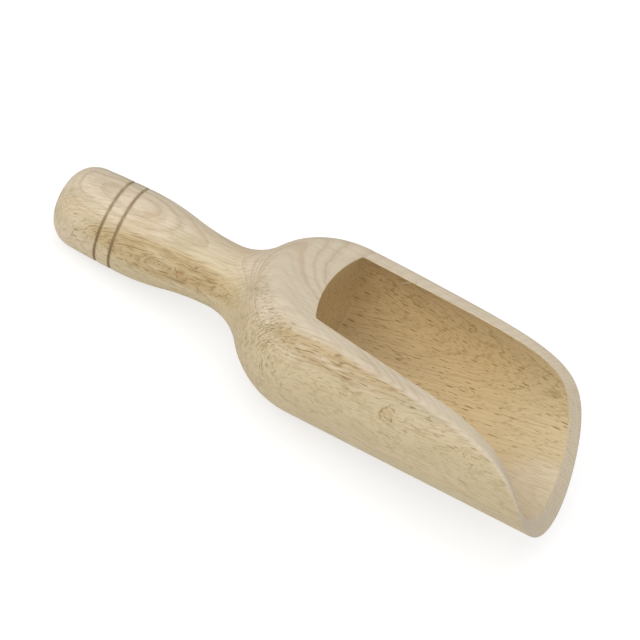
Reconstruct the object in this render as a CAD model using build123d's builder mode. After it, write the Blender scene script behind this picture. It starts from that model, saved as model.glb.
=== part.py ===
"""A hand scoop for dry goods, turned from one billet of beech. Millimetres.

The billet is drawn in a side view that holds its axis: places run from the grip's
end to the lip, heights are taken from the axis. The scoop lies as it comes to rest
on a table, on its grip and on its shoulder, with the hollow open to the top and the
lip towards +X. Its origin is on the table under the middle of its length.
"""

import os
from math import asin, atan2, cos, hypot, radians, sin, sqrt, tan

from build123d import *

# Places along the billet's axis
overall_length = 200.0
grip_end = 29.0
neck_place = 63.2
hollow_corner = 103.2
bowl_start = 104.1
lip_curve_start = 144.5

# Radii of the turned profile
crown_radius = 24.0
crown_corner_radius = 9.8
swell_radius = 314.0
grip_radius = 15.3
neck_radius = 11.7
neck_sweep_radius = 18.6
bowl_radius = 31.7

# Two V grooves burnt round the grip
groove_places = (21.3, 27.0)
groove_width = 1.4
groove_depth = 0.5

# The hollow is bored from the mouth, and its end is part of a ball
wall = 5.0
hollow_end_radius = 53.0
hollow_corner_radius = 0.8

# The cut that opens the hollow: a straight part, then a curve down to the lip
cut_height = 19.0
cut_height_place = 99.5
cut_slope = 5.4
lip_slope = 69.6
cut_hold_share = 0.79
lip_hold_share = 0.70

# The bevel inside the lip, which fades out where the curve starts
lip_bevel = 5.5
lip_land = 1.1
bevel_lift = 1.0
bevel_start_share = 0.1
bevel_overlap_share = 0.4
bevel_steps = 6

# The sanded edge round the cut
rim_softening = 0.7

overrun = 10.0

os.makedirs("parts", exist_ok=True)


def sweep_radii(run, rise):
    """The radii, added up, of two tangent arcs that join two level lines."""
    return (run**2 + rise**2) / (2 * rise)


def meeting_point(centre, radius, other_centre, other_radius):
    """Where two circles meet, on the side of the grip's end."""
    run = other_centre[0] - centre[0]
    rise = other_centre[1] - centre[1]
    gap = hypot(run, rise)
    along = (radius**2 - other_radius**2 + gap**2) / (2 * gap)
    aside = sqrt(radius**2 - along**2)
    return (
        centre[0] + (run * along + rise * aside) / gap,
        centre[1] + (rise * along - run * aside) / gap,
    )


# Sizes that follow from those above
inner_radius = bowl_radius - wall
crown_centre = (crown_radius, 0)
swell_centre = (grip_end, grip_radius - swell_radius)
crown_edge = meeting_point(crown_centre, crown_radius, swell_centre, swell_radius)
taper_middle = ((grip_end + neck_place) / 2, (grip_radius + neck_radius) / 2)
shoulder_run = bowl_start - neck_place
shoulder_rise = bowl_radius - neck_radius
shoulder_radius = sweep_radii(shoulder_run, shoulder_rise) - neck_sweep_radius
neck_share = neck_sweep_radius / (neck_sweep_radius + shoulder_radius)
shoulder_middle = (
    neck_place + shoulder_run * neck_share,
    neck_radius + shoulder_rise * neck_share,
)

# The table touches the grip's end corner and the shoulder, both round from below
corner_centre = meeting_point(
    crown_centre,
    crown_radius - crown_corner_radius,
    swell_centre,
    swell_radius - crown_corner_radius,
)
rest_run = bowl_start - corner_centre[0]
rest_rise = shoulder_radius - bowl_radius + corner_centre[1]
rest_tilt = asin(
    (shoulder_radius - crown_corner_radius) / sqrt(rest_run**2 + rest_rise**2)
) - atan2(rest_rise, rest_run)

# The billet's axis, placed so that the scoop touches the table and is centred on it
low_end = crown_radius * cos(rest_tilt) - crown_radius
half_lip = radians(lip_slope) / 2
sanded_off = rim_softening * (cos(half_lip - rest_tilt) / sin(half_lip) - 1)
high_end = overall_length * cos(rest_tilt) + bowl_radius * sin(rest_tilt) - sanded_off
axis_start_height = (
    shoulder_radius
    - bowl_start * sin(rest_tilt)
    - (shoulder_radius - bowl_radius) * cos(rest_tilt)
)
side_view = Plane(
    origin=(-(low_end + high_end) / 2, 0, axis_start_height),
    x_dir=(cos(rest_tilt), 0, sin(rest_tilt)),
    z_dir=(0, -1, 0),
)
billet_axis = Axis(side_view.origin, side_view.x_dir)

# Turned shapes are drawn on the underside, so that their seams keep clear of the cut
underside_view = Plane(origin=side_view.origin, x_dir=side_view.x_dir, z_dir=(0, 1, 0))


def cut_line(place):
    """Height of the cut's straight part over the axis."""
    return cut_height - (place - cut_height_place) * tan(radians(cut_slope))


def lip_curve(lip, bottom):
    """Control points of the curve from the cut's straight part down to the lip."""
    hold = cut_hold_share * (lip - lip_curve_start)
    rise = lip_hold_share * (cut_line(lip_curve_start) - bottom)
    return [
        (lip_curve_start, cut_line(lip_curve_start)),
        (lip_curve_start + hold, cut_line(lip_curve_start + hold)),
        (lip - rise * cos(radians(lip_slope)), bottom + rise * sin(radians(lip_slope))),
        (lip, bottom),
    ]


def rim_point(points, radius, share, side):
    """A point of such a curve laid on a round wall, on the side of the sign."""
    weights = (
        (1 - share) ** 3,
        3 * (1 - share) ** 2 * share,
        3 * (1 - share) * share**2,
        share**3,
    )
    place = sum(weight * point[0] for weight, point in zip(weights, points))
    height = sum(weight * point[1] for weight, point in zip(weights, points))
    across = side * sqrt(max(radius**2 - height**2, 0))
    return side_view.from_local_coords(Vector(place, height, across))


with BuildPart() as scoop:
    # The turned blank: flat dome, swelling grip, slender neck, round shoulder, straight bowl
    with BuildSketch(underside_view) as blank:
        with BuildLine():
            crown = RadiusArc((0, 0), crown_edge, crown_radius)
            RadiusArc(crown_edge, (grip_end, grip_radius), swell_radius)
            taper = TangentArc((grip_end, grip_radius), taper_middle, tangent=(1, 0))
            TangentArc(taper_middle, (neck_place, neck_radius), tangent=taper % 1)
            sweep_out = TangentArc((neck_place, neck_radius), shoulder_middle, tangent=(1, 0))
            TangentArc(shoulder_middle, (bowl_start, bowl_radius), tangent=sweep_out % 1)
            Polyline(
                (bowl_start, bowl_radius),
                (overall_length + overrun, bowl_radius),
                (overall_length + overrun, 0),
                (0, 0),
            )
        make_face()
        fillet(blank.vertices().sort_by_distance(crown @ 1)[0], crown_corner_radius)
    revolve(axis=billet_axis)

    # The grooves
    for place in groove_places:
        with BuildSketch(underside_view):
            with BuildLine():
                Polyline(
                    (place, grip_radius - groove_depth),
                    (place + groove_width, grip_radius + groove_depth),
                    (place - groove_width, grip_radius + groove_depth),
                    close=True,
                )
            make_face()
        revolve(axis=billet_axis, mode=Mode.SUBTRACT)

    # The bored hollow
    with BuildSketch(underside_view) as hollow:
        ball_centre = hollow_corner + sqrt(hollow_end_radius**2 - inner_radius**2)
        with BuildLine():
            hollow_end = RadiusArc(
                (ball_centre - hollow_end_radius, 0),
                (hollow_corner, inner_radius),
                hollow_end_radius,
            )
            Polyline(
                (hollow_corner, inner_radius),
                (overall_length + 2 * overrun, inner_radius),
                (overall_length + 2 * overrun, 0),
                (ball_centre - hollow_end_radius, 0),
            )
        make_face()
        fillet(hollow.vertices().sort_by_distance(hollow_end @ 1)[0], hollow_corner_radius)
    revolve(axis=billet_axis, mode=Mode.SUBTRACT)

    # The cut from above, straight over the shoulder and curved down to the lip
    outer_curve = lip_curve(overall_length, -bowl_radius)
    with BuildSketch(side_view):
        with BuildLine():
            Line((neck_place, cut_line(neck_place)), outer_curve[0])
            curve = Bezier(*outer_curve)
            Polyline(
                curve @ 1,
                curve @ 1 + (curve % 1) * overrun,
                (overall_length + 2 * overrun, -bowl_radius),
                (overall_length + 2 * overrun, bowl_radius + overrun),
                (neck_place, bowl_radius + overrun),
                (neck_place, cut_line(neck_place)),
            )
        make_face()
    extrude(amount=bowl_radius + overrun, both=True, mode=Mode.SUBTRACT)

    # The sanding of its outer edge follows that edge all the way round
    curved_edges = scoop.edges().filter_by(GeomType.BSPLINE)
    fillet(curved_edges.sort_by(SortBy.LENGTH)[-2:], rim_softening)

    # The bevel inside the lip, cut by a wedge that runs round the mouth
    inner_curve = lip_curve(overall_length - lip_bevel, -inner_radius)
    land_start = overall_length - lip_land / tan(radians(lip_slope))
    land_curve = lip_curve(land_start, lip_land - bowl_radius)
    steps = range(bevel_steps + 1)
    for step, side in [(step, -1) for step in steps] + [(step, 1) for step in steps[-2::-1]]:
        share = bevel_start_share + (1 - bevel_start_share) * step / bevel_steps
        lift = side_view.y_dir * bevel_lift * (1 - share)
        inside = rim_point(inner_curve, inner_radius, share, side) + lift
        outside = rim_point(land_curve, bowl_radius - lip_land, share, side) + lift
        across = outside - inside
        heel = inside - across * bevel_overlap_share
        front = heel + side_view.x_dir * overrun
        section = Plane(origin=heel, x_dir=across, z_dir=across.cross(heel - front))
        corners = [section.to_local_coords(corner) for corner in (heel, outside, front)]
        with BuildSketch(section):
            with BuildLine():
                Polyline(*corners, close=True)
            make_face()
    loft(mode=Mode.SUBTRACT)

scoop.part.label = "scoop"
export_step(scoop.part, "parts/scoop.step")
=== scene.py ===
"""A turned beech scoop for dry goods: its looks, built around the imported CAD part.

The scoop is drawn in a side view that holds its turning axis. Places run along the
axis from the grip's end to the lip, heights are taken from the axis, and both are in
millimetres. The side view then lies in the frame of the part, in metres.
"""

from math import asin, atan2, cos, hypot, pi, radians, sin, sqrt, tan

import bmesh
import bpy
import numpy as np
from mathutils import Matrix, Vector


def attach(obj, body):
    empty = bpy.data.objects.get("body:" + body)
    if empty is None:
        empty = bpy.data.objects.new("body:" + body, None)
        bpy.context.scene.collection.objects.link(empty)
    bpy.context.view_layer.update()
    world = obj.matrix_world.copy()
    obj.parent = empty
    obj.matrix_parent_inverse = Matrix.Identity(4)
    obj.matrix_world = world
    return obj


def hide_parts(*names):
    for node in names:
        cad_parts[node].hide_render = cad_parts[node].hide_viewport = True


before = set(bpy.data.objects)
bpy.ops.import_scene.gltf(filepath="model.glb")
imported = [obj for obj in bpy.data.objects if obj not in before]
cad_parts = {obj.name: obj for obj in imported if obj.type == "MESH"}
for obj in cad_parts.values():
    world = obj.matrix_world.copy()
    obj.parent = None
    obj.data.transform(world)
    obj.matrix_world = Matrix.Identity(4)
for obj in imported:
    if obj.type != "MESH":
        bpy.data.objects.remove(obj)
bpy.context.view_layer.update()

MM = 0.001

# Sizes of the turned scoop, the same as in the CAD part
LENGTH = 200.0
GRIP_END = 29.0
NECK = 63.2
HOLLOW_CORNER = 103.2
BOWL_START = 104.1
LIP_CURVE_START = 144.5
CROWN_RADIUS = 24.0
CROWN_CORNER = 9.8
SWELL_RADIUS = 314.0
GRIP_RADIUS = 15.3
NECK_RADIUS = 11.7
NECK_SWEEP = 18.6
BOWL_RADIUS = 31.7
WALL = 5.0
BORE_RADIUS = BOWL_RADIUS - WALL
HOLLOW_END_RADIUS = 53.0
HOLLOW_CORNER_RADIUS = 0.8
CUT_HEIGHT = 19.0
CUT_HEIGHT_PLACE = 99.5
CUT_SLOPE = radians(5.4)
LIP_SLOPE = radians(69.6)
CUT_HOLD_SHARE = 0.79
LIP_HOLD_SHARE = 0.70
LIP_BEVEL = 5.5
GROOVE_PLACES = (21.3, 27.0)
GROOVE_HALF_WIDTH = 0.72
GROOVE_DEPTH = 0.5
GROOVE_ROUNDING = 0.8
RIM_SOFTENING = 0.7

# How far the sanding reaches from each edge of the cut
SHOULDER_SANDING = 5.5
RIM_SANDING = 1.7
INNER_SANDING = 0.45
SHOULDER_SANDING_RUN = 62.0

# Mesh counts
AROUND = 156
FRONT_HALF = AROUND // 2
BACK_COLUMNS = 34
SIDE_COLUMNS = 36
CURVE_COLUMNS = 44
CORNER_COLUMN = BACK_COLUMNS + SIDE_COLUMNS + CURVE_COLUMNS
BEND_ROWS = 60
RIM_ROWS = 8
FACE_ROWS = 9
BORE_EDGE_ROWS = 5

# Steps between the mesh's rows, and the turn from the bottom at which its corner lies
SKIN_STEP = 0.85
GROOVE_STEP = 0.11
GROOVE_MARGIN = 0.2
CORNER_ANGLE = radians(84)

# Samples of the profiles and of the cut, and how far they reach past the part
DOME_STEPS = 800
OUTSIDE_STEPS = 6000
BALL_STEPS = 1200
CORNER_STEPS = 200
BORE_STEPS = 4000
CUT_STEPS = 4000
DOME_ANGLE = 0.8
PAST_LIP = 2.0
PAST_CORNER = 1.4

# Kinds of surface that the mesh marks for the wood's looks
SURFACES = ("sawn", "hollow", "lifted")


shoulder_run = BOWL_START - NECK
shoulder_rise = BOWL_RADIUS - NECK_RADIUS
SHOULDER_SWEEP = (shoulder_run**2 + shoulder_rise**2) / (2 * shoulder_rise) - NECK_SWEEP


def meeting_point(centre, radius, other_centre, other_radius):
    """Where two circles meet, on the side of the grip's end."""
    run = other_centre[0] - centre[0]
    rise = other_centre[1] - centre[1]
    gap = hypot(run, rise)
    along = (radius**2 - other_radius**2 + gap**2) / (2 * gap)
    aside = sqrt(radius**2 - along**2)
    return (
        centre[0] + (run * along + rise * aside) / gap,
        centre[1] + (rise * along - run * aside) / gap,
    )


def touch_place(centre, radius, corner, corner_radius):
    """Place where a rounded corner runs into an arc."""
    return centre[0] + (corner[0] - centre[0]) * radius / (radius - corner_radius)


crown_centre = (CROWN_RADIUS, 0.0)
swell_centre = (GRIP_END, GRIP_RADIUS - SWELL_RADIUS)
corner_centre = meeting_point(
    crown_centre, CROWN_RADIUS - CROWN_CORNER, swell_centre, SWELL_RADIUS - CROWN_CORNER
)

# The rest pose: grip and shoulder touch the table, as in the CAD part
rest_run = BOWL_START - corner_centre[0]
rest_rise = SHOULDER_SWEEP - BOWL_RADIUS + corner_centre[1]
TILT = asin(
    (SHOULDER_SWEEP - CROWN_CORNER) / sqrt(rest_run**2 + rest_rise**2)
) - atan2(rest_rise, rest_run)
low_end = CROWN_RADIUS * cos(TILT) - CROWN_RADIUS
half_lip = LIP_SLOPE / 2
sanded_off = RIM_SOFTENING * (cos(half_lip - TILT) / sin(half_lip) - 1)
high_end = LENGTH * cos(TILT) + BOWL_RADIUS * sin(TILT) - sanded_off
start_height = (
    SHOULDER_SWEEP - BOWL_START * sin(TILT) - (SHOULDER_SWEEP - BOWL_RADIUS) * cos(TILT)
)
ORIGIN = np.array([-(low_end + high_end) / 2, 0.0, start_height])
# Directions along the axis, across it and up from it
AXES = np.array([[cos(TILT), 0.0, sin(TILT)], [0.0, 1.0, 0.0], [-sin(TILT), 0.0, cos(TILT)]])
MIRROR = np.array([1.0, -1.0, 1.0])


def to_frame(points):
    """Side-view points (place, across, height) in mm become points of the part in metres."""
    return (ORIGIN + np.asarray(points) @ AXES) * MM


# The turned outside


def arc_height(place, centre, height, radius, sign):
    """Height of an arc over a place, on the upper or lower side of its centre."""
    return height + sign * np.sqrt(np.maximum(radius**2 - (place - centre) ** 2, 0))


def outside_radius(place):
    """Radius of the turned outside at each place along the axis, without the grooves."""
    taper_radius = ((NECK - GRIP_END) ** 2 + (GRIP_RADIUS - NECK_RADIUS) ** 2) / (
        4 * (GRIP_RADIUS - NECK_RADIUS)
    )
    neck_share = NECK_SWEEP / (NECK_SWEEP + SHOULDER_SWEEP)
    place = np.asarray(place, dtype=float)
    pieces = [
        arc_height(place, *crown_centre, CROWN_RADIUS, 1),
        arc_height(place, *corner_centre, CROWN_CORNER, 1),
        arc_height(place, *swell_centre, SWELL_RADIUS, 1),
        arc_height(place, GRIP_END, GRIP_RADIUS - taper_radius, taper_radius, 1),
        arc_height(place, NECK, NECK_RADIUS + taper_radius, taper_radius, -1),
        arc_height(place, NECK, NECK_RADIUS + NECK_SWEEP, NECK_SWEEP, -1),
        arc_height(place, BOWL_START, BOWL_RADIUS - SHOULDER_SWEEP, SHOULDER_SWEEP, 1),
        np.full_like(place, BOWL_RADIUS),
    ]
    ends = [
        touch_place(crown_centre, CROWN_RADIUS, corner_centre, CROWN_CORNER),
        touch_place(swell_centre, SWELL_RADIUS, corner_centre, CROWN_CORNER),
        GRIP_END,
        (GRIP_END + NECK) / 2,
        NECK,
        NECK + shoulder_run * neck_share,
        BOWL_START,
    ]
    return np.select([place < end for end in ends], pieces[:-1], default=pieces[-1])


def groove_cut(place):
    """Depth of the two burnt grooves at each place, rounded at the bottom and the lips."""
    depth = np.zeros_like(place)
    for groove in GROOVE_PLACES:
        reach = np.clip(np.abs(place - groove) / GROOVE_HALF_WIDTH, 0, 1)
        depth += GROOVE_DEPTH * (0.5 + 0.5 * np.cos(pi * reach)) ** GROOVE_ROUNDING
    return depth


def edge_runs(points):
    """Distance of each point of a line from its first."""
    steps = np.linalg.norm(np.diff(points, axis=0), axis=1)
    return np.concatenate([[0.0], np.cumsum(steps)])


class Skin:
    """A surface of revolution, measured along its profile from the pole."""

    def __init__(self, places, radii):
        self.places = places
        self.radii = radii
        self.runs = edge_runs(np.stack([places, radii], axis=-1))

    def at(self, run, turn):
        """Point at a run along the profile, turned from the bottom of the scoop."""
        place = np.interp(run, self.runs, self.places)
        radius = np.interp(run, self.runs, self.radii)
        return np.stack([place, radius * np.sin(turn), -radius * np.cos(turn)], axis=-1)

    def normal(self, run, turn, reach=0.2):
        """Outward normal of the surface of revolution."""
        ahead = self.at(run + reach, turn)
        behind = self.at(run - reach, turn)
        along = ahead - behind
        around = np.stack([np.zeros_like(turn), np.cos(turn), np.sin(turn)], axis=-1)
        face = np.cross(around, along)
        return face / np.linalg.norm(face, axis=-1, keepdims=True)

    def nearest(self, points):
        """Run and turn of the surface point nearest to each point."""
        radius = np.hypot(points[:, 1], points[:, 2])
        turn = np.arctan2(points[:, 1], -points[:, 2])
        profile = np.stack([self.places, self.radii], axis=-1)
        runs = []
        for target in np.stack([points[:, 0], radius], axis=-1):
            index = int(np.argmin(((profile - target) ** 2).sum(axis=1)))
            low = max(index - 1, 0)
            high = min(index + 1, len(profile) - 1)
            chord = profile[high] - profile[low]
            share = np.clip((target - profile[low]) @ chord / (chord @ chord), 0, 1)
            runs.append(self.runs[low] + share * (self.runs[high] - self.runs[low]))
        return np.array(runs), turn


def outside_skin():
    """The outside's profile, sampled finely from the grip's pole to past the lip."""
    dome = CROWN_RADIUS * (1 - np.cos(np.linspace(0, DOME_ANGLE, DOME_STEPS)))
    rest = np.linspace(dome[-1], LENGTH + PAST_LIP, OUTSIDE_STEPS)[1:]
    places = np.concatenate([dome, rest])
    return Skin(places, outside_radius(places) - groove_cut(places))


def inside_skin():
    """The hollow's profile: ball end, rounded corner and straight bore."""
    ball = HOLLOW_CORNER + sqrt(HOLLOW_END_RADIUS**2 - BORE_RADIUS**2)
    inner = HOLLOW_END_RADIUS - HOLLOW_CORNER_RADIUS
    corner_radius = BORE_RADIUS - HOLLOW_CORNER_RADIUS
    corner_place = ball - sqrt(inner**2 - corner_radius**2)
    end_angle = asin(corner_radius / inner)
    sweep = np.linspace(0, end_angle, BALL_STEPS)
    turn = np.linspace(end_angle, pi / 2, CORNER_STEPS)[1:]
    bore = np.linspace(corner_place, LENGTH + PAST_LIP, BORE_STEPS)[1:]
    places = [
        ball - HOLLOW_END_RADIUS * np.cos(sweep),
        corner_place - HOLLOW_CORNER_RADIUS * np.cos(turn),
        bore,
    ]
    radii = [
        HOLLOW_END_RADIUS * np.sin(sweep),
        corner_radius + HOLLOW_CORNER_RADIUS * np.sin(turn),
        np.full_like(bore, BORE_RADIUS),
    ]
    return Skin(np.concatenate(places), np.concatenate(radii))


# The cut from above


def cut_line(place):
    """Height of the cut's straight part."""
    return CUT_HEIGHT - (place - CUT_HEIGHT_PLACE) * tan(CUT_SLOPE)


def lip_curve(lip, bottom, share):
    """Place and height along the curve from the straight part down to the lip."""
    hold = CUT_HOLD_SHARE * (lip - LIP_CURVE_START)
    rise = LIP_HOLD_SHARE * (cut_line(LIP_CURVE_START) - bottom)
    controls = [
        (LIP_CURVE_START, cut_line(LIP_CURVE_START)),
        (LIP_CURVE_START + hold, cut_line(LIP_CURVE_START + hold)),
        (lip - rise * cos(LIP_SLOPE), bottom + rise * sin(LIP_SLOPE)),
        (lip, bottom),
    ]
    share = share[:, None]
    left = 1 - share
    weights = (left**3, 3 * left**2 * share, 3 * left * share**2, share**3)
    return sum(weight * control for weight, control in zip(weights, controls))


def side_edge(places, heights, radii):
    """The far half of an edge where the cut meets a round skin."""
    across = np.sqrt(np.maximum(radii**2 - heights**2, 0))
    return np.stack([places, across, heights], axis=-1)


def even_points(points, count):
    """Points spread evenly along a line, its ends included."""
    runs = edge_runs(points)
    wanted = np.linspace(0, runs[-1], count + 1)
    return np.stack([np.interp(wanted, runs, points[:, axis]) for axis in range(3)], axis=-1)


def even_shares(points, shares, marks):
    """Shares of the curve at which its line is divided evenly between marked shares."""
    runs = edge_runs(points)
    found = []
    for low, high, count in marks:
        low_run, high_run = np.interp([low, high], shares, runs)
        wanted = np.linspace(low_run, high_run, count + 1)
        found.append(np.interp(wanted, runs, shares)[:-1])
    return np.concatenate(found + [[marks[-1][1]]])


def at_cut(skin, values):
    """One of a skin's rows of values, where its profile comes up to the cut at the back."""
    over = skin.radii - cut_line(skin.places)
    first = int(np.argmax(over > 0))
    share = over[first - 1] / (over[first - 1] - over[first])
    return values[first - 1] + share * (values[first] - values[first - 1])


def back_edge(places, radii):
    """The cut's edge over the shoulder, from the middle of the back."""
    edge = side_edge(places, cut_line(places), radii)
    edge[0, 1] = 0.0
    return even_points(edge, BACK_COLUMNS)


def lip_edge(lip, radius, shares):
    """The cut's edge down the curve to the lip."""
    curve = lip_curve(lip, -radius, shares)
    return side_edge(curve[:, 0], curve[:, 1], radius)


def cut_edges(outside, inside):
    """The two crisp edges of the cut's face, on the far side, column by column."""
    fine = np.linspace(0, 1, CUT_STEPS + 1)
    # Points crowd towards the back, where the edge runs square to the axis
    back = at_cut(outside, outside.places)
    shoulder = back + (HOLLOW_CORNER - back) * fine**2
    outer_back = back_edge(shoulder, outside_radius(shoulder))
    back = at_cut(inside, inside.runs)
    corner_end = HOLLOW_CORNER + PAST_CORNER
    runs = back + (np.interp(corner_end, inside.places, inside.runs) - back) * fine**2
    inner_back = back_edge(
        np.interp(runs, inside.runs, inside.places), np.interp(runs, inside.runs, inside.radii)
    )
    rim = np.linspace(HOLLOW_CORNER, LIP_CURVE_START, SIDE_COLUMNS + 1)
    outer_side = side_edge(rim, cut_line(rim), outside_radius(rim))
    rim = np.linspace(corner_end, LIP_CURVE_START, SIDE_COLUMNS + 1)
    inner_side = side_edge(rim, cut_line(rim), BORE_RADIUS)

    # The mesh corner lies at a set angle over the bottom
    outer_fine = lip_edge(LENGTH, BOWL_RADIUS, fine)
    turn = np.arccos(np.clip(-outer_fine[:, 2] / BOWL_RADIUS, -1, 1))
    corner_share = float(np.interp(-CORNER_ANGLE, -turn, fine))
    marks = [(0, corner_share, CURVE_COLUMNS), (corner_share, 1, FRONT_HALF)]
    shares = even_shares(outer_fine, fine, marks)
    outer_lip = lip_edge(LENGTH, BOWL_RADIUS, shares)
    inner_lip = lip_edge(LENGTH - LIP_BEVEL, BORE_RADIUS, shares)
    outer = np.concatenate([outer_back[:-1], outer_side[:-1], outer_lip])
    inner = np.concatenate([inner_back[:-1], inner_side[:-1], inner_lip])
    return outer, inner


def unit(vectors):
    """The same directions, of length 1."""
    return vectors / np.linalg.norm(vectors, axis=-1, keepdims=True)


def step_down(edge, skin, reach):
    """Run and turn of the skin at a distance from the edge, square to it."""
    mirrored = edge * MIRROR
    padded = np.concatenate([mirrored[1:2], edge, mirrored[-2:-1]])
    tangent = unit(padded[2:] - padded[:-2])
    run, turn = skin.nearest(edge)
    normal = skin.normal(run, turn)
    down = unit(np.cross(normal, tangent))
    # The way down always leads away from the open side of the cut
    facing = np.sign(np.sum(down * np.array([1.0, 0.0, 1.0]), axis=1, keepdims=True))
    down = -down * facing
    moved_run, moved_turn = skin.nearest(edge + down * reach[:, None])
    moved_turn[0] = pi
    moved_turn[-1] = 0.0
    return moved_run, moved_turn


def smooth(share):
    """A share that starts and ends softly."""
    share = np.clip(share, 0, 1)
    return share * share * (3 - 2 * share)


def skin_grid(skin, runs, turns, closed_runs):
    """Rows of points from the pole to the sanded edge, and the edge itself.

    Rows that lie before the edge are closed circles. From the edge's first point on,
    each row is an arc from the edge on one side, round the bottom, to the other side.
    The last rows bend forward, so that the final one follows the lip.
    """
    corner = CORNER_COLUMN
    shares = np.linspace(-1, 1, AROUND + 1)
    rows = [skin.at(np.full(AROUND + 1, run), pi * shares) for run in closed_runs]
    front_run = np.concatenate([runs[corner:], runs[corner:-1][::-1]])
    front_turn = np.concatenate([-turns[corner:], turns[corner:-1][::-1]])
    bend = smooth((np.arange(corner + 1) - corner) / BEND_ROWS + 1)
    for index in range(corner + 1):
        run = runs[index] + bend[index] * (front_run - runs[corner])
        turn = turns[index] * shares + bend[index] * (front_turn - turns[corner] * shares)
        rows.append(skin.at(run, turn))
    return rows


def skin_runs(skin, first_run, fine_places):
    """Runs of the closed rows, from just off the pole to just before the edge."""
    fine_reach = GROOVE_HALF_WIDTH + GROOVE_MARGIN
    runs = []
    run = 0.0
    while run < first_run:
        place = float(np.interp(run, skin.runs, skin.places))
        gaps = [abs(place - fine) for fine in fine_places] or [LENGTH]
        gap = max(min(gaps) - fine_reach, 0.0)
        run += min(SKIN_STEP, max(gap, GROOVE_STEP))
        runs.append(run)
    while runs and runs[-1] > first_run - SKIN_STEP / 2:
        runs.pop()
    return runs


class Shell:
    """Points and faces of the mesh while it is being put together."""

    def __init__(self):
        self.points = []
        self.faces = []
        self.marks = {name: [] for name in SURFACES}

    def add(self, points, **marks):
        """Adds points, each with the share of every kind of surface that it lies on."""
        start = len(self.points)
        self.points.extend(points)
        for name, shares in self.marks.items():
            shares.extend([marks.get(name, 0.0)] * len(points))
        return list(range(start, start + len(points)))

    def strip(self, first, second, closed=False):
        """Quads between two rows of point numbers."""
        count = len(first) if closed else len(first) - 1
        for index in range(count):
            after = (index + 1) % len(first)
            corners = [first[index], first[after], second[after], second[index]]
            kept = list(dict.fromkeys(corners))
            if len(kept) > 2:
                self.faces.append(kept)


def lay_skin(shell, skin, rows, closed_count, hollow):
    """Puts a skin's rows into the mesh, closed round its pole, and returns its numbers."""
    numbers = []
    for index, row in enumerate(rows):
        if index <= closed_count:
            ring = shell.add(row[:-1], hollow=hollow)
            numbers.append(ring + ring[:1])
        else:
            numbers.append(shell.add(row, hollow=hollow))
    pole = shell.add(skin.at(np.zeros(1), np.zeros(1)), hollow=hollow)[0]
    shell.strip([pole] * (AROUND + 1), numbers[0])
    for first, second in zip(numbers[:-1], numbers[1:]):
        shell.strip(first, second)
    return numbers


def edge_numbers(numbers, closed_count):
    """Point numbers of a skin's sanded edge, from the back round the far side and home."""
    rows = numbers[closed_count:]
    sides, front = rows[:CORNER_COLUMN], rows[CORNER_COLUMN]
    far = [row[-1] for row in sides] + front[FRONT_HALF:][::-1]
    near = [row[0] for row in sides] + front[: FRONT_HALF + 1]
    return far + near[1:-1][::-1]


def rounded(start, corner, end, count):
    """Points of a soft corner between two points, both ends left out."""
    share = np.linspace(0, 1, count + 1)[1:-1, None, None]
    return (1 - share) ** 2 * start + 2 * share * (1 - share) * corner + share**2 * end


def add_piece(name, mesh):
    """A mesh put into the scene under its name."""
    piece = bpy.data.objects.new(name, mesh)
    bpy.context.scene.collection.objects.link(piece)
    return piece


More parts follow.
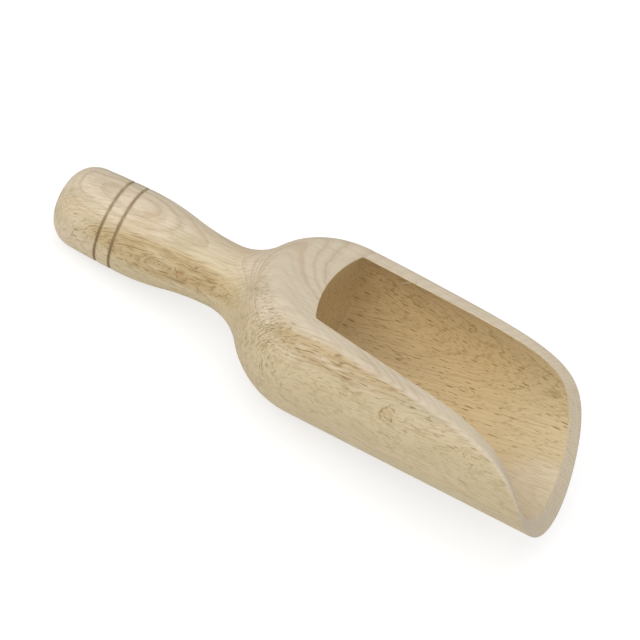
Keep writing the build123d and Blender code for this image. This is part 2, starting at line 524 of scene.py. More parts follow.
def scoop_mesh(material):
    """Outside, hollow, the sanded face between them and the loose fibre, as one mesh."""
    outside = outside_skin()
    inside = inside_skin()
    outer, inner = cut_edges(outside, inside)
    outer_reach = RIM_SANDING + (SHOULDER_SANDING - RIM_SANDING) * (
        1 - smooth(edge_runs(outer) / SHOULDER_SANDING_RUN)
    )
    inner_reach = np.full(len(inner), INNER_SANDING)
    outer_run, outer_turn = step_down(outer, outside, outer_reach)
    inner_run, inner_turn = step_down(inner, inside, inner_reach)

    shell = Shell()
    sides = []
    for skin, runs, turns, fine, hollow in (
        (outside, outer_run, outer_turn, GROOVE_PLACES, 0.0),
        (inside, inner_run, inner_turn, (), 1.0),
    ):
        closed = skin_runs(skin, runs[0], fine)
        rows = skin_grid(skin, runs, turns, closed)
        numbers = lay_skin(shell, skin, rows, len(closed), hollow)
        sides.append(edge_numbers(numbers, len(closed)))

    # The cut's face between the two edges, with both edges softened
    def round_trip(points):
        return np.concatenate([points, points[1:-1][::-1] * MIRROR])

    crisp_out, crisp_in = round_trip(outer), round_trip(inner)
    width = np.linalg.norm(crisp_in - crisp_out, axis=1, keepdims=True)
    reach_out = np.concatenate([outer_reach, outer_reach[1:-1][::-1]])[:, None]
    face_start = crisp_out + (crisp_in - crisp_out) * reach_out / width
    face_end = crisp_in + (crisp_out - crisp_in) * INNER_SANDING / width
    skin_out = np.array([shell.points[number] for number in sides[0]])
    skin_in = np.array([shell.points[number] for number in sides[1]])
    numbers = [sides[0]]
    outer_bands = rounded(skin_out, crisp_out, face_start, RIM_ROWS)
    for share, band in zip(np.linspace(0, 1, RIM_ROWS + 1)[1:-1], outer_bands):
        numbers.append(shell.add(list(band), sawn=smooth(share * 2)))
    for share in np.linspace(0, 1, FACE_ROWS + 1):
        band = face_start + (face_end - face_start) * share
        numbers.append(shell.add(list(band), sawn=1.0))
    inner_bands = rounded(face_end, crisp_in, skin_in, BORE_EDGE_ROWS)
    for share, band in zip(np.linspace(0, 1, BORE_EDGE_ROWS + 1)[1:-1], inner_bands):
        numbers.append(shell.add(list(band), sawn=1.0 - share, hollow=share))
    numbers.append(sides[1])
    for first, second in zip(numbers[:-1], numbers[1:]):
        shell.strip(first, second, closed=True)

    points, faces = loose_fibre(material)
    numbers = shell.add(points, sawn=1.0, lifted=1.0)
    shell.faces.extend([[numbers[corner] for corner in face] for face in faces])

    mesh = bpy.data.meshes.new("scoop_wood")
    points = to_frame(np.array(shell.points))
    mesh.from_pydata([tuple(point) for point in points], [], shell.faces)
    work = bmesh.new()
    work.from_mesh(mesh)
    bmesh.ops.recalc_face_normals(work, faces=work.faces)
    for face in work.faces:
        face.smooth = True
    work.to_mesh(mesh)
    work.free()
    for name, shares in shell.marks.items():
        mark = mesh.attributes.new(name, "FLOAT", "POINT")
        mark.data.foreach_set("value", shares)
    return mesh


# Camera of the photograph, measured in the side view round the middle of the axis
CAMERA_TURN = radians(13.136)
CAMERA_RISE = radians(40.664)
CAMERA_ROLL = radians(17.958)
CAMERA_DISTANCE = 785.74
CAMERA_AIM = 99.5
CAMERA_FOCUS = 2329.95
CAMERA_SHIFT_RIGHT = -0.981
CAMERA_SHIFT_UP = -0.809
PICTURE_WIDTH = 640
SENSOR = 36.0
CLIP_START = 0.05
CLIP_END = 20.0


def turned(vector):
    """A side-view direction in the frame of the part."""
    return Vector(vector @ AXES)


def add_camera():
    """The photograph's view of the scoop."""
    level = np.array([cos(CAMERA_TURN), sin(CAMERA_TURN), 0.0])
    away = np.array([sin(CAMERA_TURN), -cos(CAMERA_TURN), 0.0])
    back = away * cos(CAMERA_RISE) + np.array([0.0, 0.0, sin(CAMERA_RISE)])
    steep = np.cross(level, -back)
    right = cos(CAMERA_ROLL) * level + sin(CAMERA_ROLL) * steep
    upright = -sin(CAMERA_ROLL) * level + cos(CAMERA_ROLL) * steep
    place = np.array([CAMERA_AIM, 0.0, 0.0]) + back * CAMERA_DISTANCE
    place = place - right * CAMERA_SHIFT_RIGHT - upright * CAMERA_SHIFT_UP
    data = bpy.data.cameras.new("camera")
    data.sensor_width = SENSOR
    data.lens = CAMERA_FOCUS * SENSOR / PICTURE_WIDTH
    data.clip_start = CLIP_START
    data.clip_end = CLIP_END
    camera = bpy.data.objects.new("camera", data)
    bpy.context.scene.collection.objects.link(camera)
    axes = Matrix([turned(right), turned(upright), turned(back)]).transposed()
    camera.matrix_world = Matrix.Translation(Vector(to_frame(place))) @ axes.to_4x4()
    bpy.context.scene.camera = camera


# A loose fibre that the saw left on the far rim, from its root to its tip
FIBRE_LINE = {
    "Start": (123.0, 21.4, 17.2),
    "Start Handle": (121.2, 20.4, 17.0),
    "End Handle": (119.6, 22.0, 14.2),
    "End": (117.6, 23.2, 12.3),
}
FIBRE_RADIUS = 0.24
FIBRE_TIP_SHARE = 0.25
FIBRE_STEPS = 20
FIBRE_SIDES = 8

# Colours of the wood, and of the painted light and shade laid over it
PALE_BEECH = (0.685, 0.577, 0.428)
WARM_BEECH = (0.615, 0.485, 0.328)
GREY_BEECH = (0.545, 0.468, 0.318)
TAN_BEECH = (0.500, 0.370, 0.190)
SHADED_SIDE_YELLOW = (0.585, 0.475, 0.270)
SAWN_BEECH = (0.620, 0.532, 0.405)
BOUNCE_LIT_HOLLOW = (0.705, 0.527, 0.270)
UNDER_RIM_PAINTED_LIGHT = (0.780, 0.630, 0.370)
RING_PINK = (0.440, 0.315, 0.190)
LINE_BROWN = (0.235, 0.145, 0.040)
RAY_OLIVE = (0.215, 0.120, 0.018)
RAY_RUSSET = (0.330, 0.170, 0.035)
SCORCH_BROWN = (0.220, 0.150, 0.070)
TOASTED_BROWN = (0.330, 0.215, 0.105)
LIFTED_CREAM = (0.660, 0.570, 0.400)

# How the grain wanders: clouds per millimetre along, across and up, and reach in millimetres
DRIFT = ((0.016, 0.05, 0.05), (0.0, 3.0, 1.4))
SHIVER = ((0.13, 0.35, 0.35), (0.0, 0.7, 0.45))

# How far the fibres slant across the billet, from the neck to each end and in the hollow
GRIP_SLANT = 0.17
BOWL_SLANT = 0.085
SLANT_TURN = 60.0
HOLLOW_SLANT = 0.04
HOLLOW_MIDDLE = 130.0

# Places where the grain bulges sideways: middle, half size and how far it is pushed
BULGES = (
    ((44.5, -13.0, 3.2), (7.5, 9.0, 4.0), -3.6),
    ((52.9, -12.4, 2.0), (2.4, 5.0, 2.2), -2.2),
    ((112.0, 25.0, 9.6), (7.0, 8.0, 5.0), 5.0),
    ((138.5, -31.2, 5.8), (4.2, 6.0, 4.0), -2.4),
    ((123.1, -31.1, 5.6), (2.8, 5.0, 2.8), -1.4),
    ((167.3, -31.1, 5.6), (2.6, 5.0, 3.2), -1.4),
    ((145.9, -31.6, 2.9), (1.6, 4.0, 1.5), -1.0),
)
BULGED = (0.2, 1.6)

# Clouds per millimetre each way, and the noise between which they set in and are full
WARM_CLOUDS = ((0.05, 0.11, 0.11), (0.48, 0.66))
GREY_CLOUDS = ((0.035, 0.16, 0.12), (0.48, 0.66))
TAN_CLOUDS = ((0.05, 0.5, 0.3), (0.25, 0.50))
SCRATCHES = ((0.10, 4.2, 0.9), (0.54, 0.66))
SHEET_BREAKS = ((0.11, 0.75, 0.30), (0.44, 0.62))
TORN_CLOUDS = ((0.07, 0.09, 0.09), (0.25, 0.42))
BURR_BREAKS = ((0.42, 0.1, 0.42), (0.45, 0.55))

# Soft ovals: middle, half size, and the share between which each sets in and is full
TAN_GRIP = ((46.0, -12.5, 4.0), (48.0, 10.0, 9.0), (0.08, 0.55))
TAN_WALL = ((116.0, -28.0, 14.0), (44.0, 9.0, 8.0), (0.10, 0.60))
MOUTH = ((198.0, 0.0, -27.0), (34.0, 27.0, 16.0), (0.03, 0.50))

# Warm clouds, painted shade laying the lower wood yellower, and tan wood on the grip and the near
# wall
WARM_SHARE = 0.80
SIDE_SHADE_HEIGHTS = (15.0, 6.0)
SIDE_SHADE_PLACES = (2.0, 32.0)
SIDE_SHADE_AT_DOME = 0.3
SIDE_SHADE_SHARE = 0.75
TAN_WALL_SHARE = 0.85
TAN_SHARE = 0.92

# The sawn face; in the hollow, painted bounce light that deepens towards the back, and a painted
# paler mouth
SAWN_SHARE = 0.85
HOLLOW_BOUNCE_PLACES = (188.0, 152.0)
HOLLOW_BOUNCE_SHARES = (0.38, 0.86)
MOUTH_LIGHT_SHARE = 0.70

# Hollow: painted light under the rims, painted shadow on its floor, painted shade at its back;
# where each sets in and is full
EVERYWHERE = (-400.0, -300.0)
HOLLOW_PAINTED_LIGHT_AND_SHADE = (
    (UNDER_RIM_PAINTED_LIGHT, 0.75, EVERYWHERE, (0.0, 12.0)),
    (TAN_BEECH, 0.60, (152.0, 114.0), (-8.0, -17.0)),
    (TAN_BEECH, 0.35, (132.0, 106.0), EVERYWHERE),
)

# The trunk's rings lie almost level in the billet: their lean, bow and dip in the bowl
RING_LEAN = 0.17
RING_BOW = 136.0
RING_DIP = 0.145
RING_DIP_START = 64.5
RING_SPACING = 1.15
RING_FADE = (0.75, 0.08)
RING_EDGE = (0.0, 0.06)
FAINT_RING_SHARE = 0.16

# Rings that stand out: height over the axis, how far they fade, and strength
STRONG_RINGS = (
    (16.30, 1.10, 0.75),
    (15.18, 0.42, 0.80),
    (14.12, 0.60, 0.90),
    (12.42, 0.55, 0.85),
)
STRONG_RING_EDGE = 0.05
STRONG_RING_SHARE = 0.50

# Streaks and scratches along the grain, with their shares on pale and on tan wood
STREAKS = (0.06, 2.2, 0.35)
STREAK_BAND = (0.46, 0.74)
STREAK_SHARES = (0.26, 0.46)
SCRATCH_SHARES = (0.20, 0.65)
SCRATCHES_SANDED_OFF = 0.7

# Sheets of grain stand upright along the axis and show as hairlines
SHEET_SPACING = 1.15
SHEET_WANDER = (0.035, 0.12, 0.10)
SHEET_WANDER_REACH = 5.0
SHEET_LINE = (0.09, 0.02)
LINE_SHARES = (0.34, 0.89)
LINE_SHARE_ON_BULGES = 0.4
LINES_SAWN_OFF = 0.85

# Rays are thin upright lenses along the grain: spacing, half size and the share that shows
BROAD_RAYS = ((4.8, 1.00, 1.5), (2.20, 0.27, 0.27), 0.78)
FINE_RAYS = ((2.7, 0.55, 0.75), (1.30, 0.15, 0.17), 0.85)
TORN_GRAIN = ((2.0, 0.31, 2.3), (1.35, 0.085, 1.60), 0.92)
RAY_DISORDER = 0.95
RAY_SIZES = (0.5, 1.25)
RAY_SHADES = (0.6, 1.0)
RAY_EDGE = (1.0, 0.45)
BROAD_RAY_SHARE = 0.88
FINE_RAY_SHARE = 0.70

# Where rays lie close: low on the grip, high on the bowl's walls and in the hollow
GRIP_RAY_PLACES = (72.0, 60.0)
GRIP_RAY_HEIGHTS = (11.0, 3.0)
BOWL_RAY_PLACES = (86.0, 98.0)
WALL_RAY_HEIGHTS = (0.0, 9.0)
RAYS_LOW_ON_BOWL = 0.25
RAYS_ELSEWHERE = 0.15
FINE_RAYS_ELSEWHERE = 0.4
RAYS_GONE_AT_MOUTH = 0.75
FINE_RAYS_GONE = 0.8

# The steep shoulder, where the lathe tears the grain
TORN_START = (73.0, 81.0)
TORN_END = (100.0, 91.0)

# Burrs and pin knots: where they lie, their half sizes, and how dark they are
BURRS = (
    ((52.8, -12.4, 2.0), (1.9, 4.0, 1.5), 0.85),
    ((60.5, -11.7, 2.4), (1.2, 4.0, 0.7), 0.60),
    ((63.6, -11.7, 2.3), (0.9, 4.0, 0.6), 0.55),
    ((122.7, -31.1, 6.2), (2.0, 4.0, 2.0), 0.65),
    ((138.5, -31.2, 5.8), (2.7, 4.0, 3.1), 0.80),
    ((145.9, -31.6, 2.9), (1.1, 4.0, 0.8), 0.85),
    ((145.6, -30.5, 8.7), (1.3, 4.0, 0.6), 0.75),
    ((167.2, -31.1, 6.0), (1.2, 4.0, 1.8), 0.80),
    ((146.2, 25.9, 6.4), (1.3, 4.0, 2.4), 0.80),
    ((113.1, 25.6, 7.6), (3.0, 4.0, 3.4), 0.55),
    ((125.2, 25.6, 6.8), (3.2, 4.0, 3.0), 0.50),
)
BURR_SHARE = 0.85
BURR_SHAKE = ((0.5, 0.5, 0.5), (2.4, 0.0, 2.4))
BURR_RIM_INSIDE = (0.60, 0.85)
BURR_RIM_OUTSIDE = (1.15, 0.95)
BURR_HEART = (0.9, 0.3)
BURR_HEART_SHARE = 0.30

# The grooves were burnt in with a wire: reach of the char and of the toasted wood beside it
SCORCH_REACH = (0.66, 0.32)
TOAST_REACH = (1.4, 0.6)
TOAST_BAND = (0.35, 0.7)
TOAST_SHARE = 0.30
BURN_CLOUDS = (0.5, 0.45, 0.45)
CHAR_BAND = (0.2, 0.6)
CHAR_SHARES = (0.70, 0.95)
CHAR_HEIGHTS = (15.0, 0.0)
CHAR_ON_TOP = 0.68

# Roughness and relief that each kind of mark brings
PLAIN_ROUGHNESS = 0.48
ROUGHNESS = {"streaks": 0.16, "fine_rays": 0.10, "sawn": 0.06, "scorch": 0.15}
RELIEF = {
    "streaks": 0.5,
    "scratches": 0.4,
    "broad_rays": 1.0,
    "fine_rays": 0.5,
    "torn": 1.2,
    "lines": 0.5,
    "burrs": 0.6,
}
RELIEF_STRENGTH = 0.35
RELIEF_DEPTH = 0.12


class Reading:
    """A number that varies over the wood, put together from nodes."""

    def __init__(self, wiring, socket):
        self.wiring = wiring
        self.socket = socket

    def __add__(self, other):
        return self.wiring.math("ADD", self, other)

    def __sub__(self, other):
        return self.wiring.math("SUBTRACT", self, other)

    def __mul__(self, other):
        return self.wiring.math("MULTIPLY", self, other)

    def __truediv__(self, other):
        return self.wiring.math("DIVIDE", self, other)

    def but_not(self, other):
        """This mask, taken away where the other one is full."""
        return self * self.wiring.math("SUBTRACT", 1.0, other)

    def between(self, low, high):
        """This share, from the first value where it is 0 to the second where it is 1."""
        return self * (high - low) + low

    def band(self, low, high):
        """Rises softly from 0 at the first value to 1 at the second, or falls."""
        inputs = {"Value": self, "From Min": low, "From Max": high}
        ramp = self.wiring.node("MapRange", inputs, interpolation_type="SMOOTHSTEP")
        return Reading(self.wiring, ramp["Result"])


class Wiring:
    """Places nodes in a tree and joins them."""

    def __init__(self, tree):
        self.tree = tree

    def feed(self, socket, value):
        """Joins a socket to another one, or gives it a plain value."""
        if isinstance(value, Reading):
            value = value.socket
        if isinstance(value, bpy.types.NodeSocket):
            self.tree.links.new(value, socket)
        elif isinstance(value, tuple) and socket.type == "RGBA":
            socket.default_value = (*value, 1.0)
        else:
            socket.default_value = value

    def node(self, kind, inputs, **settings):
        """Places a node, feeds its inputs by name or number, and returns its outputs."""
        node = self.tree.nodes.new(kind if "Node" in kind else "ShaderNode" + kind)
        for name, setting in settings.items():
            setattr(node, name, setting)
        for name, value in inputs.items():
            self.feed(node.inputs[name], value)
        return node.outputs

    def math(self, operation, *values):
        return Reading(self, self.node("Math", dict(enumerate(values)), operation=operation)[0])

    def highest(self, masks):
        """The strongest of some masks."""
        best = masks[0]
        for mask in masks[1:]:
            best = self.math("MAXIMUM", best, mask)
        return best

    def vector(self, operation, *values):
        """Arithmetic on vectors."""
        return self.node("VectorMath", dict(enumerate(values)), operation=operation)["Vector"]

    def reach(self, gap, half_size):
        """How far out a gap lies in an oval: 0 in its middle, 1 at its edge."""
        share = self.vector("DIVIDE", gap, half_size)
        return Reading(self, self.node("VectorMath", {0: share}, operation="LENGTH")["Value"])

    def parts(self, vector):
        return [Reading(self, output) for output in self.node("SeparateXYZ", {0: vector})]

    def across(self, shift):
        """A vector that points across the billet."""
        return self.node("CombineXYZ", {"Y": shift})[0]

    def clouds(self, vector, stretch, detail=2.0, roughness=0.5, output="Fac"):
        """Cloudy noise on the wood's place, with so many clouds per millimetre each way."""
        inputs = {"Vector": self.vector("MULTIPLY", vector, stretch), "Scale": 1.0}
        inputs.update({"Detail": detail, "Roughness": roughness})
        return Reading(self, self.node("TexNoise", inputs)[output])

    def cloudy(self, vector, clouds, detail=2.0):
        """A mask of clouds."""
        stretch, ends = clouds
        return self.clouds(vector, stretch, detail).band(*ends)

    def wander(self, vector, clouds, detail=2.0):
        """A shift that varies like clouds, so far each way."""
        stretch, reach = clouds
        colour = self.clouds(vector, stretch, detail, output="Color")
        return self.vector("MULTIPLY", self.vector("SUBTRACT", colour, (0.5, 0.5, 0.5)), reach)

    def mixed(self, share, first, second):
        """One colour laid over another by a mask, on the mixing node's colour sockets."""
        return self.node("Mix", {0: share, 6: first, 7: second}, data_type="RGBA")[2]

    def group(self, tree, inputs):
        """A node group with its named inputs; returns its outputs by name."""
        outputs = self.node("Group", inputs, node_tree=tree)
        return {output.name: Reading(self, output) for output in outputs}


def new_group(name, inputs, outputs, kind="Shader"):
    """An empty node group with its named sockets, and the way into and out of it."""
    tree = bpy.data.node_groups.new(name, kind + "NodeTree")
    for direction, sockets in (("INPUT", inputs), ("OUTPUT", outputs)):
        for socket, form in sockets.items():
            tree.interface.new_socket(socket, in_out=direction, socket_type="NodeSocket" + form)
    entry = tree.nodes.new("NodeGroupInput")
    exit_node = tree.nodes.new("NodeGroupOutput")
    return tree, Wiring(tree), entry.outputs, exit_node.inputs


def loose_fibre(material):
    """Points and faces of the fibre: a tapering strand along a bent line, closed at its ends."""
    sizes = {**FIBRE_LINE, "Radius": FIBRE_RADIUS}
    inputs = {name: "Vector" if name in FIBRE_LINE else "Float" for name in sizes}
    outputs = {"Fibre": "Geometry"}
    tree, wiring, given, result = new_group("loose_fibre", inputs, outputs, "Geometry")
    bent = {"Resolution": FIBRE_STEPS, **{name: given[name] for name in FIBRE_LINE}}
    line = wiring.node("GeometryNodeCurvePrimitiveBezierSegment", bent, mode="POSITION")[0]
    along = wiring.node("GeometryNodeSplineParameter", {})["Factor"]
    taper = wiring.node("MapRange", {"Value": along, "To Min": 1.0, "To Max": FIBRE_TIP_SHARE})
    tapered = {"Curve": line, "Radius": taper["Result"]}
    line = wiring.node("GeometryNodeSetCurveRadius", tapered)[0]
    circle = {"Resolution": FIBRE_SIDES, "Radius": given["Radius"]}
    section = wiring.node("GeometryNodeCurvePrimitiveCircle", circle)[0]
    swept = {"Curve": line, "Profile Curve": section, "Fill Caps": True}
    strand = wiring.node("GeometryNodeCurveToMesh", swept)[0]
    strand = wiring.node("GeometryNodeRealizeInstances", {0: strand})[0]
    finished = {"Geometry": strand, "Material": material}
    wiring.feed(result["Fibre"], wiring.node("GeometryNodeSetMaterial", finished)[0])

    carrier = add_piece("fibre_line", bpy.data.meshes.new("fibre_line"))
    modifier = carrier.modifiers.new("fibre", "NODES")
    modifier.node_group = tree
    for item in tree.interface.items_tree:
        if item.in_out == "INPUT":
            modifier[item.identifier] = sizes[item.name]
    evaluated = carrier.evaluated_get(bpy.context.evaluated_depsgraph_get())
    mesh = bpy.data.meshes.new_from_object(evaluated)
    points = [np.array(vertex.co) for vertex in mesh.vertices]
    faces = [list(polygon.vertices) for polygon in mesh.polygons]
    bpy.data.objects.remove(carrier)
    bpy.data.meshes.remove(mesh)
    return points, faces


def oval_group(name):
    """An empty group that is given a place and an oval, and gives a mask."""
    inputs = {"Place": "Vector", "Middle": "Vector", "Half Size": "Vector"}
    return new_group(name, inputs, {"Mask": "Float"})


def soft_patch_group():
    """A mask that is 1 in the middle of an oval place and fades to 0 at its edge."""
    tree, wiring, given, result = oval_group("soft_patch")
    gap = wiring.vector("SUBTRACT", given["Place"], given["Middle"])
    wiring.feed(result["Mask"], wiring.reach(gap, given["Half Size"]).band(1.0, 0.0))
    return tree


def burr_group():
    """The broken dark rim of an oval burr."""
    tree, wiring, given, result = oval_group("burr")
    gap = wiring.vector("SUBTRACT", given["Place"], given["Middle"])
    gap = wiring.vector("ADD", gap, wiring.wander(given["Place"], BURR_SHAKE))
    share = wiring.reach(gap, given["Half Size"])
    broken = wiring.cloudy(given["Place"], BURR_BREAKS, detail=1.0)
    rim = share.band(*BURR_RIM_INSIDE) * share.band(*BURR_RIM_OUTSIDE) * broken
    heart = share.band(*BURR_HEART) * BURR_HEART_SHARE
    wiring.feed(result["Mask"], wiring.highest([rim, heart]))
    return tree


def ray_group():
    """Thin lenses strewn through the wood, each with a shade and a tint of its own."""
    inputs = {"Place": "Vector", "Spacing": "Vector", "Half Size": "Vector", "Share": "Float"}
    outputs = {"Mask": "Float", "Tint": "Float"}
    tree, wiring, given, result = new_group("wood_rays", inputs, outputs)
    spot = wiring.vector("DIVIDE", given["Place"], given["Spacing"])
    cells = {"Vector": spot, "Scale": 1.0, "Randomness": RAY_DISORDER}
    cells = wiring.node("TexVoronoi", cells, feature="F1", distance="EUCLIDEAN")
    gap = wiring.vector("SUBTRACT", spot, cells["Position"])
    gap = wiring.vector("MULTIPLY", gap, given["Spacing"])
    chance, size, tint = wiring.parts(cells["Color"])
    share = wiring.reach(gap, given["Half Size"])
    lens = (share / size.between(*RAY_SIZES)).band(*RAY_EDGE)
    shown = wiring.math("LESS_THAN", chance, given["Share"])
    wiring.feed(result["Mask"], lens * shown * size.between(*RAY_SHADES))
    wiring.feed(result["Tint"], tint)
    return tree


def ring_group():
    """The trunk's rings: each darkens towards its edge and ends there at once."""
    outputs = {"Strong": "Float", "Faint": "Float"}
    tree, wiring, given, result = new_group("growth_rings", {"Place": "Vector"}, outputs)
    place, across, height = wiring.parts(given["Place"])
    dip = wiring.math("MAXIMUM", place - RING_DIP_START, 0.0) * RING_DIP
    level = height - across * RING_LEAN + across * across / RING_BOW - dip
    strong = []
    for ring, fade, strength in STRONG_RINGS:
        gap = level - ring
        strong.append(gap.band(fade, 0.0) * gap.band(0.0, STRONG_RING_EDGE) * strength)
    saw = wiring.math("FRACT", level / RING_SPACING)
    wiring.feed(result["Strong"], wiring.highest(strong))
    wiring.feed(result["Faint"], saw.band(*RING_FADE) * saw.band(*RING_EDGE))
    return tree


def sheet_line_group():
    """Hairlines where the grain's sheets meet the surface, as straight lines or ovals."""
    outputs = {"Mask": "Float"}
    tree, wiring, given, result = new_group("sheet_lines", {"Place": "Vector"}, outputs)
    across = wiring.parts(given["Place"])[1]
    wander = wiring.clouds(given["Place"], SHEET_WANDER)
    sheets = wiring.math("FRACT", across / SHEET_SPACING + wander * SHEET_WANDER_REACH)
    gap = wiring.math("ABSOLUTE", sheets - 0.5)
    broken = wiring.cloudy(given["Place"], SHEET_BREAKS)
    wiring.feed(result["Mask"], gap.band(*SHEET_LINE) * broken)
    return tree


class Beech(Wiring):
    """The scoop's wood: its places and its grain, and one layer of looks after another."""

    def __init__(self, tree):
        super().__init__(tree)
        # Object coordinates become side-view places in millimetres
        side_view = {"Vector": self.node("TexCoord", {})["Object"], "Scale": (MM, MM, MM)}
        side_view.update({"Location": tuple(ORIGIN * MM), "Rotation": (0.0, -TILT, 0.0)})
        self.spot = self.node("Mapping", side_view, vector_type="TEXTURE")["Vector"]
        self.along, _, self.height = self.parts(self.spot)
        self.marks = {}
        for name in SURFACES:
            self.marks[name] = Reading(self, self.node("Attribute", {}, attribute_name=name)["Fac"])
        self.sawn = self.marks["sawn"]
        self.hollow = self.marks["hollow"]
        self.soft_patch = soft_patch_group()
        self.rays = ray_group()
        # The oval at the hollow's mouth: laid paler there as painted light, and sanded smooth
        self.mouth = self.oval(*MOUTH) * self.hollow
        self.tone = PALE_BEECH
        self.run_grain()

    def patch(self, middle, half_size):
        """A mask on a soft oval place."""
        given = {"Place": self.spot, "Middle": middle, "Half Size": half_size}
        return self.group(self.soft_patch, given)["Mask"]

    def oval(self, middle, half_size, ends):
        """A mask on an oval place that is full over more of it."""
        return self.patch(middle, half_size).band(*ends)

    def lay(self, mask, colour):
        """Lays a colour over the wood by a mask."""
        self.tone = self.mixed(mask, self.tone, colour)

    def weighed(self, weights):
        """The wood's marks added up, each by its weight."""
        shares = [self.marks[name] * weight for name, weight in weights.items()]
        return sum(shares[1:], shares[0])

    def run_grain(self):
        """The grain wanders, slants across the billet, and bulges where knots and burrs lie."""
        self.grain = self.vector("ADD", self.spot, self.wander(self.spot, DRIFT, detail=1.0))
        self.grain = self.vector("ADD", self.grain, self.wander(self.spot, SHIVER))
        slant = self.math("MINIMUM", self.along - SLANT_TURN, 0.0) * GRIP_SLANT
        slant = slant + self.math("MAXIMUM", self.along - SLANT_TURN, 0.0) * BOWL_SLANT
        slant = slant + (self.along - HOLLOW_MIDDLE) * self.hollow * HOLLOW_SLANT
        self.fibres = self.vector("SUBTRACT", self.grain, self.across(slant))
        pushes = [self.patch(middle, half_size) * push for middle, half_size, push in BULGES]
        bulge = sum(pushes[1:], pushes[0])
        self.bulged = self.math("ABSOLUTE", bulge).band(*BULGED)
        self.sheets = self.vector("ADD", self.fibres, self.across(bulge))

    def lay_ground(self):
        """Clouds of warmer, greyer and tan wood, and painted shade that is yellower lower down."""
        self.lay(self.cloudy(self.grain, WARM_CLOUDS) * WARM_SHARE, WARM_BEECH)
        self.lay(self.cloudy(self.grain, GREY_CLOUDS, detail=3.0), GREY_BEECH)
        # Painted shade: the sides and underside are laid yellower and darker than the top, less so
        # on the dome
        off_dome = self.along.band(*SIDE_SHADE_PLACES).between(SIDE_SHADE_AT_DOME, 1.0)
        self.lay(self.height.band(*SIDE_SHADE_HEIGHTS) * off_dome * SIDE_SHADE_SHARE, SHADED_SIDE_YELLOW)
        tan = self.highest([self.oval(*TAN_GRIP), self.oval(*TAN_WALL) * TAN_WALL_SHARE])
        self.tan = tan * self.cloudy(self.grain, TAN_CLOUDS)
        self.lay(self.tan * TAN_SHARE, TAN_BEECH)

    def lay_surfaces(self):
        """The sawn face, and painted light and shade in the hollow from its mouth to its back."""
        self.lay(self.sawn * SAWN_SHARE, SAWN_BEECH)
        # Painted bounce light: the hollow is laid a deeper orange that grows towards its back
        bounce_tint = self.along.band(*HOLLOW_BOUNCE_PLACES).between(*HOLLOW_BOUNCE_SHARES)
        self.lay(self.hollow * bounce_tint, BOUNCE_LIT_HOLLOW)
        # Painted light: the hollow is laid paler at its mouth
        self.lay(self.mouth * MOUTH_LIGHT_SHARE, PALE_BEECH)
        # Painted light on the walls under the rims, painted shadow on the hollow's floor, painted
        # shade at its back
        for colour, share, places, heights in HOLLOW_PAINTED_LIGHT_AND_SHADE:
            mask = self.along.band(*places) * self.height.band(*heights)
            self.lay(self.hollow * mask * share, colour)

    def lay_lines(self):
        """The trunk's rings, and streaks, scratches and hairlines along the grain."""
        ring = self.group(ring_group(), {"Place": self.grain})
        self.lay(ring["Strong"] * STRONG_RING_SHARE, RING_PINK)
        self.lay(ring["Faint"] * FAINT_RING_SHARE, RING_PINK)
        streaks = self.clouds(self.sheets, STREAKS, detail=3.0, roughness=0.65)
        self.lay(streaks.band(*STREAK_BAND) * self.tan.between(*STREAK_SHARES), LINE_BROWN)
        sanded = self.highest([self.sawn, self.mouth]) * SCRATCHES_SANDED_OFF
        scratches = self.cloudy(self.sheets, SCRATCHES).but_not(sanded)
        self.lay(scratches * self.tan.between(*SCRATCH_SHARES), LINE_BROWN)
        lines = self.group(sheet_line_group(), {"Place": self.sheets})["Mask"]
        lines = lines.but_not(self.sawn * LINES_SAWN_OFF)
        strength = self.tan.between(*LINE_SHARES) + self.bulged * LINE_SHARE_ON_BULGES
        self.lay(lines * strength, LINE_BROWN)
        self.marks.update(streaks=streaks, scratches=scratches, lines=lines)

    def strewn(self, place, lenses):
        """Lenses strewn through the wood: their mask and their tint."""
        spacing, half_size, share = lenses
        given = {"Place": place, "Spacing": spacing, "Half Size": half_size, "Share": share}
        return self.group(self.rays, given)

    def lay_rays(self):
        """Broad and fine rays."""
        low_on_grip = self.along.band(*GRIP_RAY_PLACES) * self.height.band(*GRIP_RAY_HEIGHTS)
        on_wall = self.highest([self.height.band(*WALL_RAY_HEIGHTS), self.hollow])
        on_bowl = self.along.band(*BOWL_RAY_PLACES) * on_wall.between(RAYS_LOW_ON_BOWL, 1.0)
        rayed = self.highest([on_bowl, low_on_grip]).between(RAYS_ELSEWHERE, 1.0)
        smooth_wood = self.highest([self.sawn, self.mouth * RAYS_GONE_AT_MOUTH])
        broad = self.strewn(self.fibres, BROAD_RAYS)
        fine = self.strewn(self.fibres, FINE_RAYS)
        broad_rays = (broad["Mask"] * rayed).but_not(smooth_wood)
        fine_rays = fine["Mask"] * rayed.between(FINE_RAYS_ELSEWHERE, 1.0)
        fine_rays = fine_rays.but_not(smooth_wood * FINE_RAYS_GONE)
        ray_colour = self.mixed(broad["Tint"], RAY_OLIVE, RAY_RUSSET)
        self.lay(broad_rays * BROAD_RAY_SHARE, ray_colour)
        self.lay(fine_rays * FINE_RAY_SHARE, LINE_BROWN)
        self.marks.update(broad_rays=broad_rays, fine_rays=fine_rays)

    def lay_torn_grain(self):
        """The lathe tears the steep shoulder crosswise."""
        steep = self.along.band(*TORN_START) * self.along.band(*TORN_END)
        steep = steep * self.cloudy(self.spot, TORN_CLOUDS)
        torn = self.strewn(self.grain, TORN_GRAIN)["Mask"] * steep
        torn = torn.but_not(self.sawn).but_not(self.hollow)
        self.lay(torn, LINE_BROWN)
        self.marks["torn"] = torn

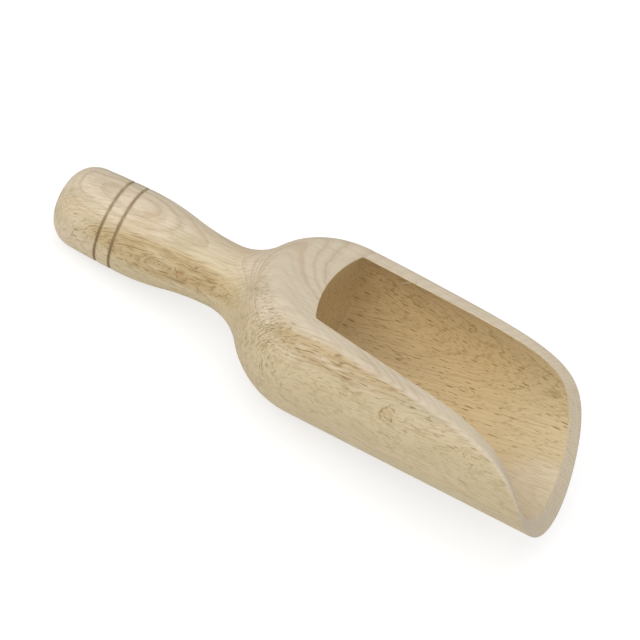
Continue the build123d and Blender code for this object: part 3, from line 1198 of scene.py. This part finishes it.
    def lay_burrs(self):
        """Burrs and pin knots."""
        burr = burr_group()
        rims = []
        for middle, half_size, strength in BURRS:
            given = {"Place": self.spot, "Middle": middle, "Half Size": half_size}
            rims.append(self.group(burr, given)["Mask"] * (strength * BURR_SHARE))
        burrs = self.highest(rims)
        self.lay(burrs, RAY_RUSSET)
        self.marks["burrs"] = burrs

    def lay_burnt_grooves(self):
        """Charred grooves, each between two toasted edges."""
        gaps = [self.math("ABSOLUTE", self.along - groove) for groove in GROOVE_PLACES]
        scorch = self.highest([gap.band(*SCORCH_REACH) for gap in gaps])
        toast = self.highest([gap.band(*TOAST_REACH) for gap in gaps])
        uneven = self.clouds(self.spot, BURN_CLOUDS)
        self.lay(toast * uneven.band(*TOAST_BAND) * TOAST_SHARE, TOASTED_BROWN)
        charred = uneven.band(*CHAR_BAND).between(*CHAR_SHARES)
        charred = charred * self.height.band(*CHAR_HEIGHTS).between(CHAR_ON_TOP, 1.0)
        self.lay(scorch * charred, SCORCH_BROWN)
        self.marks["scorch"] = scorch


def new_material(name):
    material = bpy.data.materials.new(name)
    material.use_nodes = True
    return material


def turned_beech():
    """Beech with its rings, rays and lines, its sawn and burnt places, and painted light and shade
    in its hollow.
    """
    material = new_material("beech")
    shader = material.node_tree.nodes["Principled BSDF"]
    wood = Beech(material.node_tree)
    wood.lay_ground()
    wood.lay_surfaces()
    wood.lay_lines()
    wood.lay_rays()
    wood.lay_torn_grain()
    wood.lay_burrs()
    wood.lay_burnt_grooves()
    wood.lay(wood.marks["lifted"], LIFTED_CREAM)
    wood.feed(shader.inputs["Base Color"], wood.tone)
    wood.feed(shader.inputs["Roughness"], wood.weighed(ROUGHNESS) + PLAIN_ROUGHNESS)
    relief = {"Strength": RELIEF_STRENGTH, "Distance": RELIEF_DEPTH * MM}
    relief["Height"] = wood.math("SUBTRACT", 1.0, wood.weighed(RELIEF))
    wood.feed(shader.inputs["Normal"], wood.node("Bump", relief)["Normal"])
    return material


# Floor, backdrop and lamps
FLOOR_HALF = 4.0
FLOOR_PALE = (0.86, 0.86, 0.86)
FLOOR_SHADED = (0.46, 0.46, 0.46)
FLOOR_GLOW = 0.66
WORLD_LIGHT = 0.42
LAMP_SIZE = 0.8
LAMPS = (
    ("key", (-0.34, -0.82, 0.74), 6.7),
    ("overhead", (-0.15, -0.1, 1.05), 3.9),
    ("mouth_side", (0.85, 0.0, 0.65), 1.6),
)


def seen_or_mirrored(wiring):
    """A mask of the rays that come from the camera, a reflection or a clear piece."""
    rays = wiring.node("LightPath", {})
    mask = wiring.math("MAXIMUM", rays["Is Camera Ray"], rays["Is Glossy Ray"])
    return wiring.math("MAXIMUM", mask, rays["Is Transmission Ray"])


def add_floor():
    """A pale floor: it looks white to the camera, and keeps a soft shadow."""
    low, high = -FLOOR_HALF, FLOOR_HALF
    corners = [(low, low, 0), (high, low, 0), (high, high, 0), (low, high, 0)]
    mesh = bpy.data.meshes.new("floor")
    mesh.from_pydata(corners, [], [(0, 1, 2, 3)])
    floor = add_piece("floor", mesh)
    material = new_material("floor_white")
    wiring = Wiring(material.node_tree)
    wiring.tree.nodes.clear()
    matte = wiring.node("BsdfDiffuse", {"Color": FLOOR_PALE})[0]
    shaded = wiring.node("BsdfDiffuse", {"Color": FLOOR_SHADED})[0]
    glow = wiring.node("Emission", {"Strength": FLOOR_GLOW})[0]
    both = wiring.node("AddShader", {0: shaded, 1: glow})[0]
    seen = seen_or_mirrored(wiring)
    pick = wiring.node("MixShader", {0: seen, 1: matte, 2: both})[0]
    wiring.node("OutputMaterial", {"Surface": pick})
    mesh.materials.append(material)


def light_world():
    """A white backdrop that lights the scoop softly from all sides."""
    world = bpy.data.worlds.new("studio")
    bpy.context.scene.world = world
    world.use_nodes = True
    wiring = Wiring(world.node_tree)
    wiring.tree.nodes.clear()
    strength = seen_or_mirrored(wiring).between(WORLD_LIGHT, 1.0)
    backdrop = wiring.node("Background", {"Strength": strength})[0]
    wiring.node("OutputWorld", {"Surface": backdrop})


def add_lamp(name, place, power):
    """A soft square lamp that faces the scoop."""
    data = bpy.data.lights.new(name, "AREA")
    data.shape = "SQUARE"
    data.size = LAMP_SIZE
    data.energy = power
    lamp = bpy.data.objects.new(name, data)
    bpy.context.scene.collection.objects.link(lamp)
    lamp.location = place
    lamp.rotation_euler = (-Vector(place)).to_track_quat("-Z", "Y").to_euler()


# Putting it together
view = bpy.context.scene.view_settings
view.view_transform = "Standard"
add_camera()

beech = turned_beech()
scoop = add_piece("scoop_wood", scoop_mesh(beech))
scoop.data.materials.append(beech)
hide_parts("scoop")
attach(scoop, "root")

add_floor()
light_world()
for name, place, power in LAMPS:
    add_lamp(name, place, power)
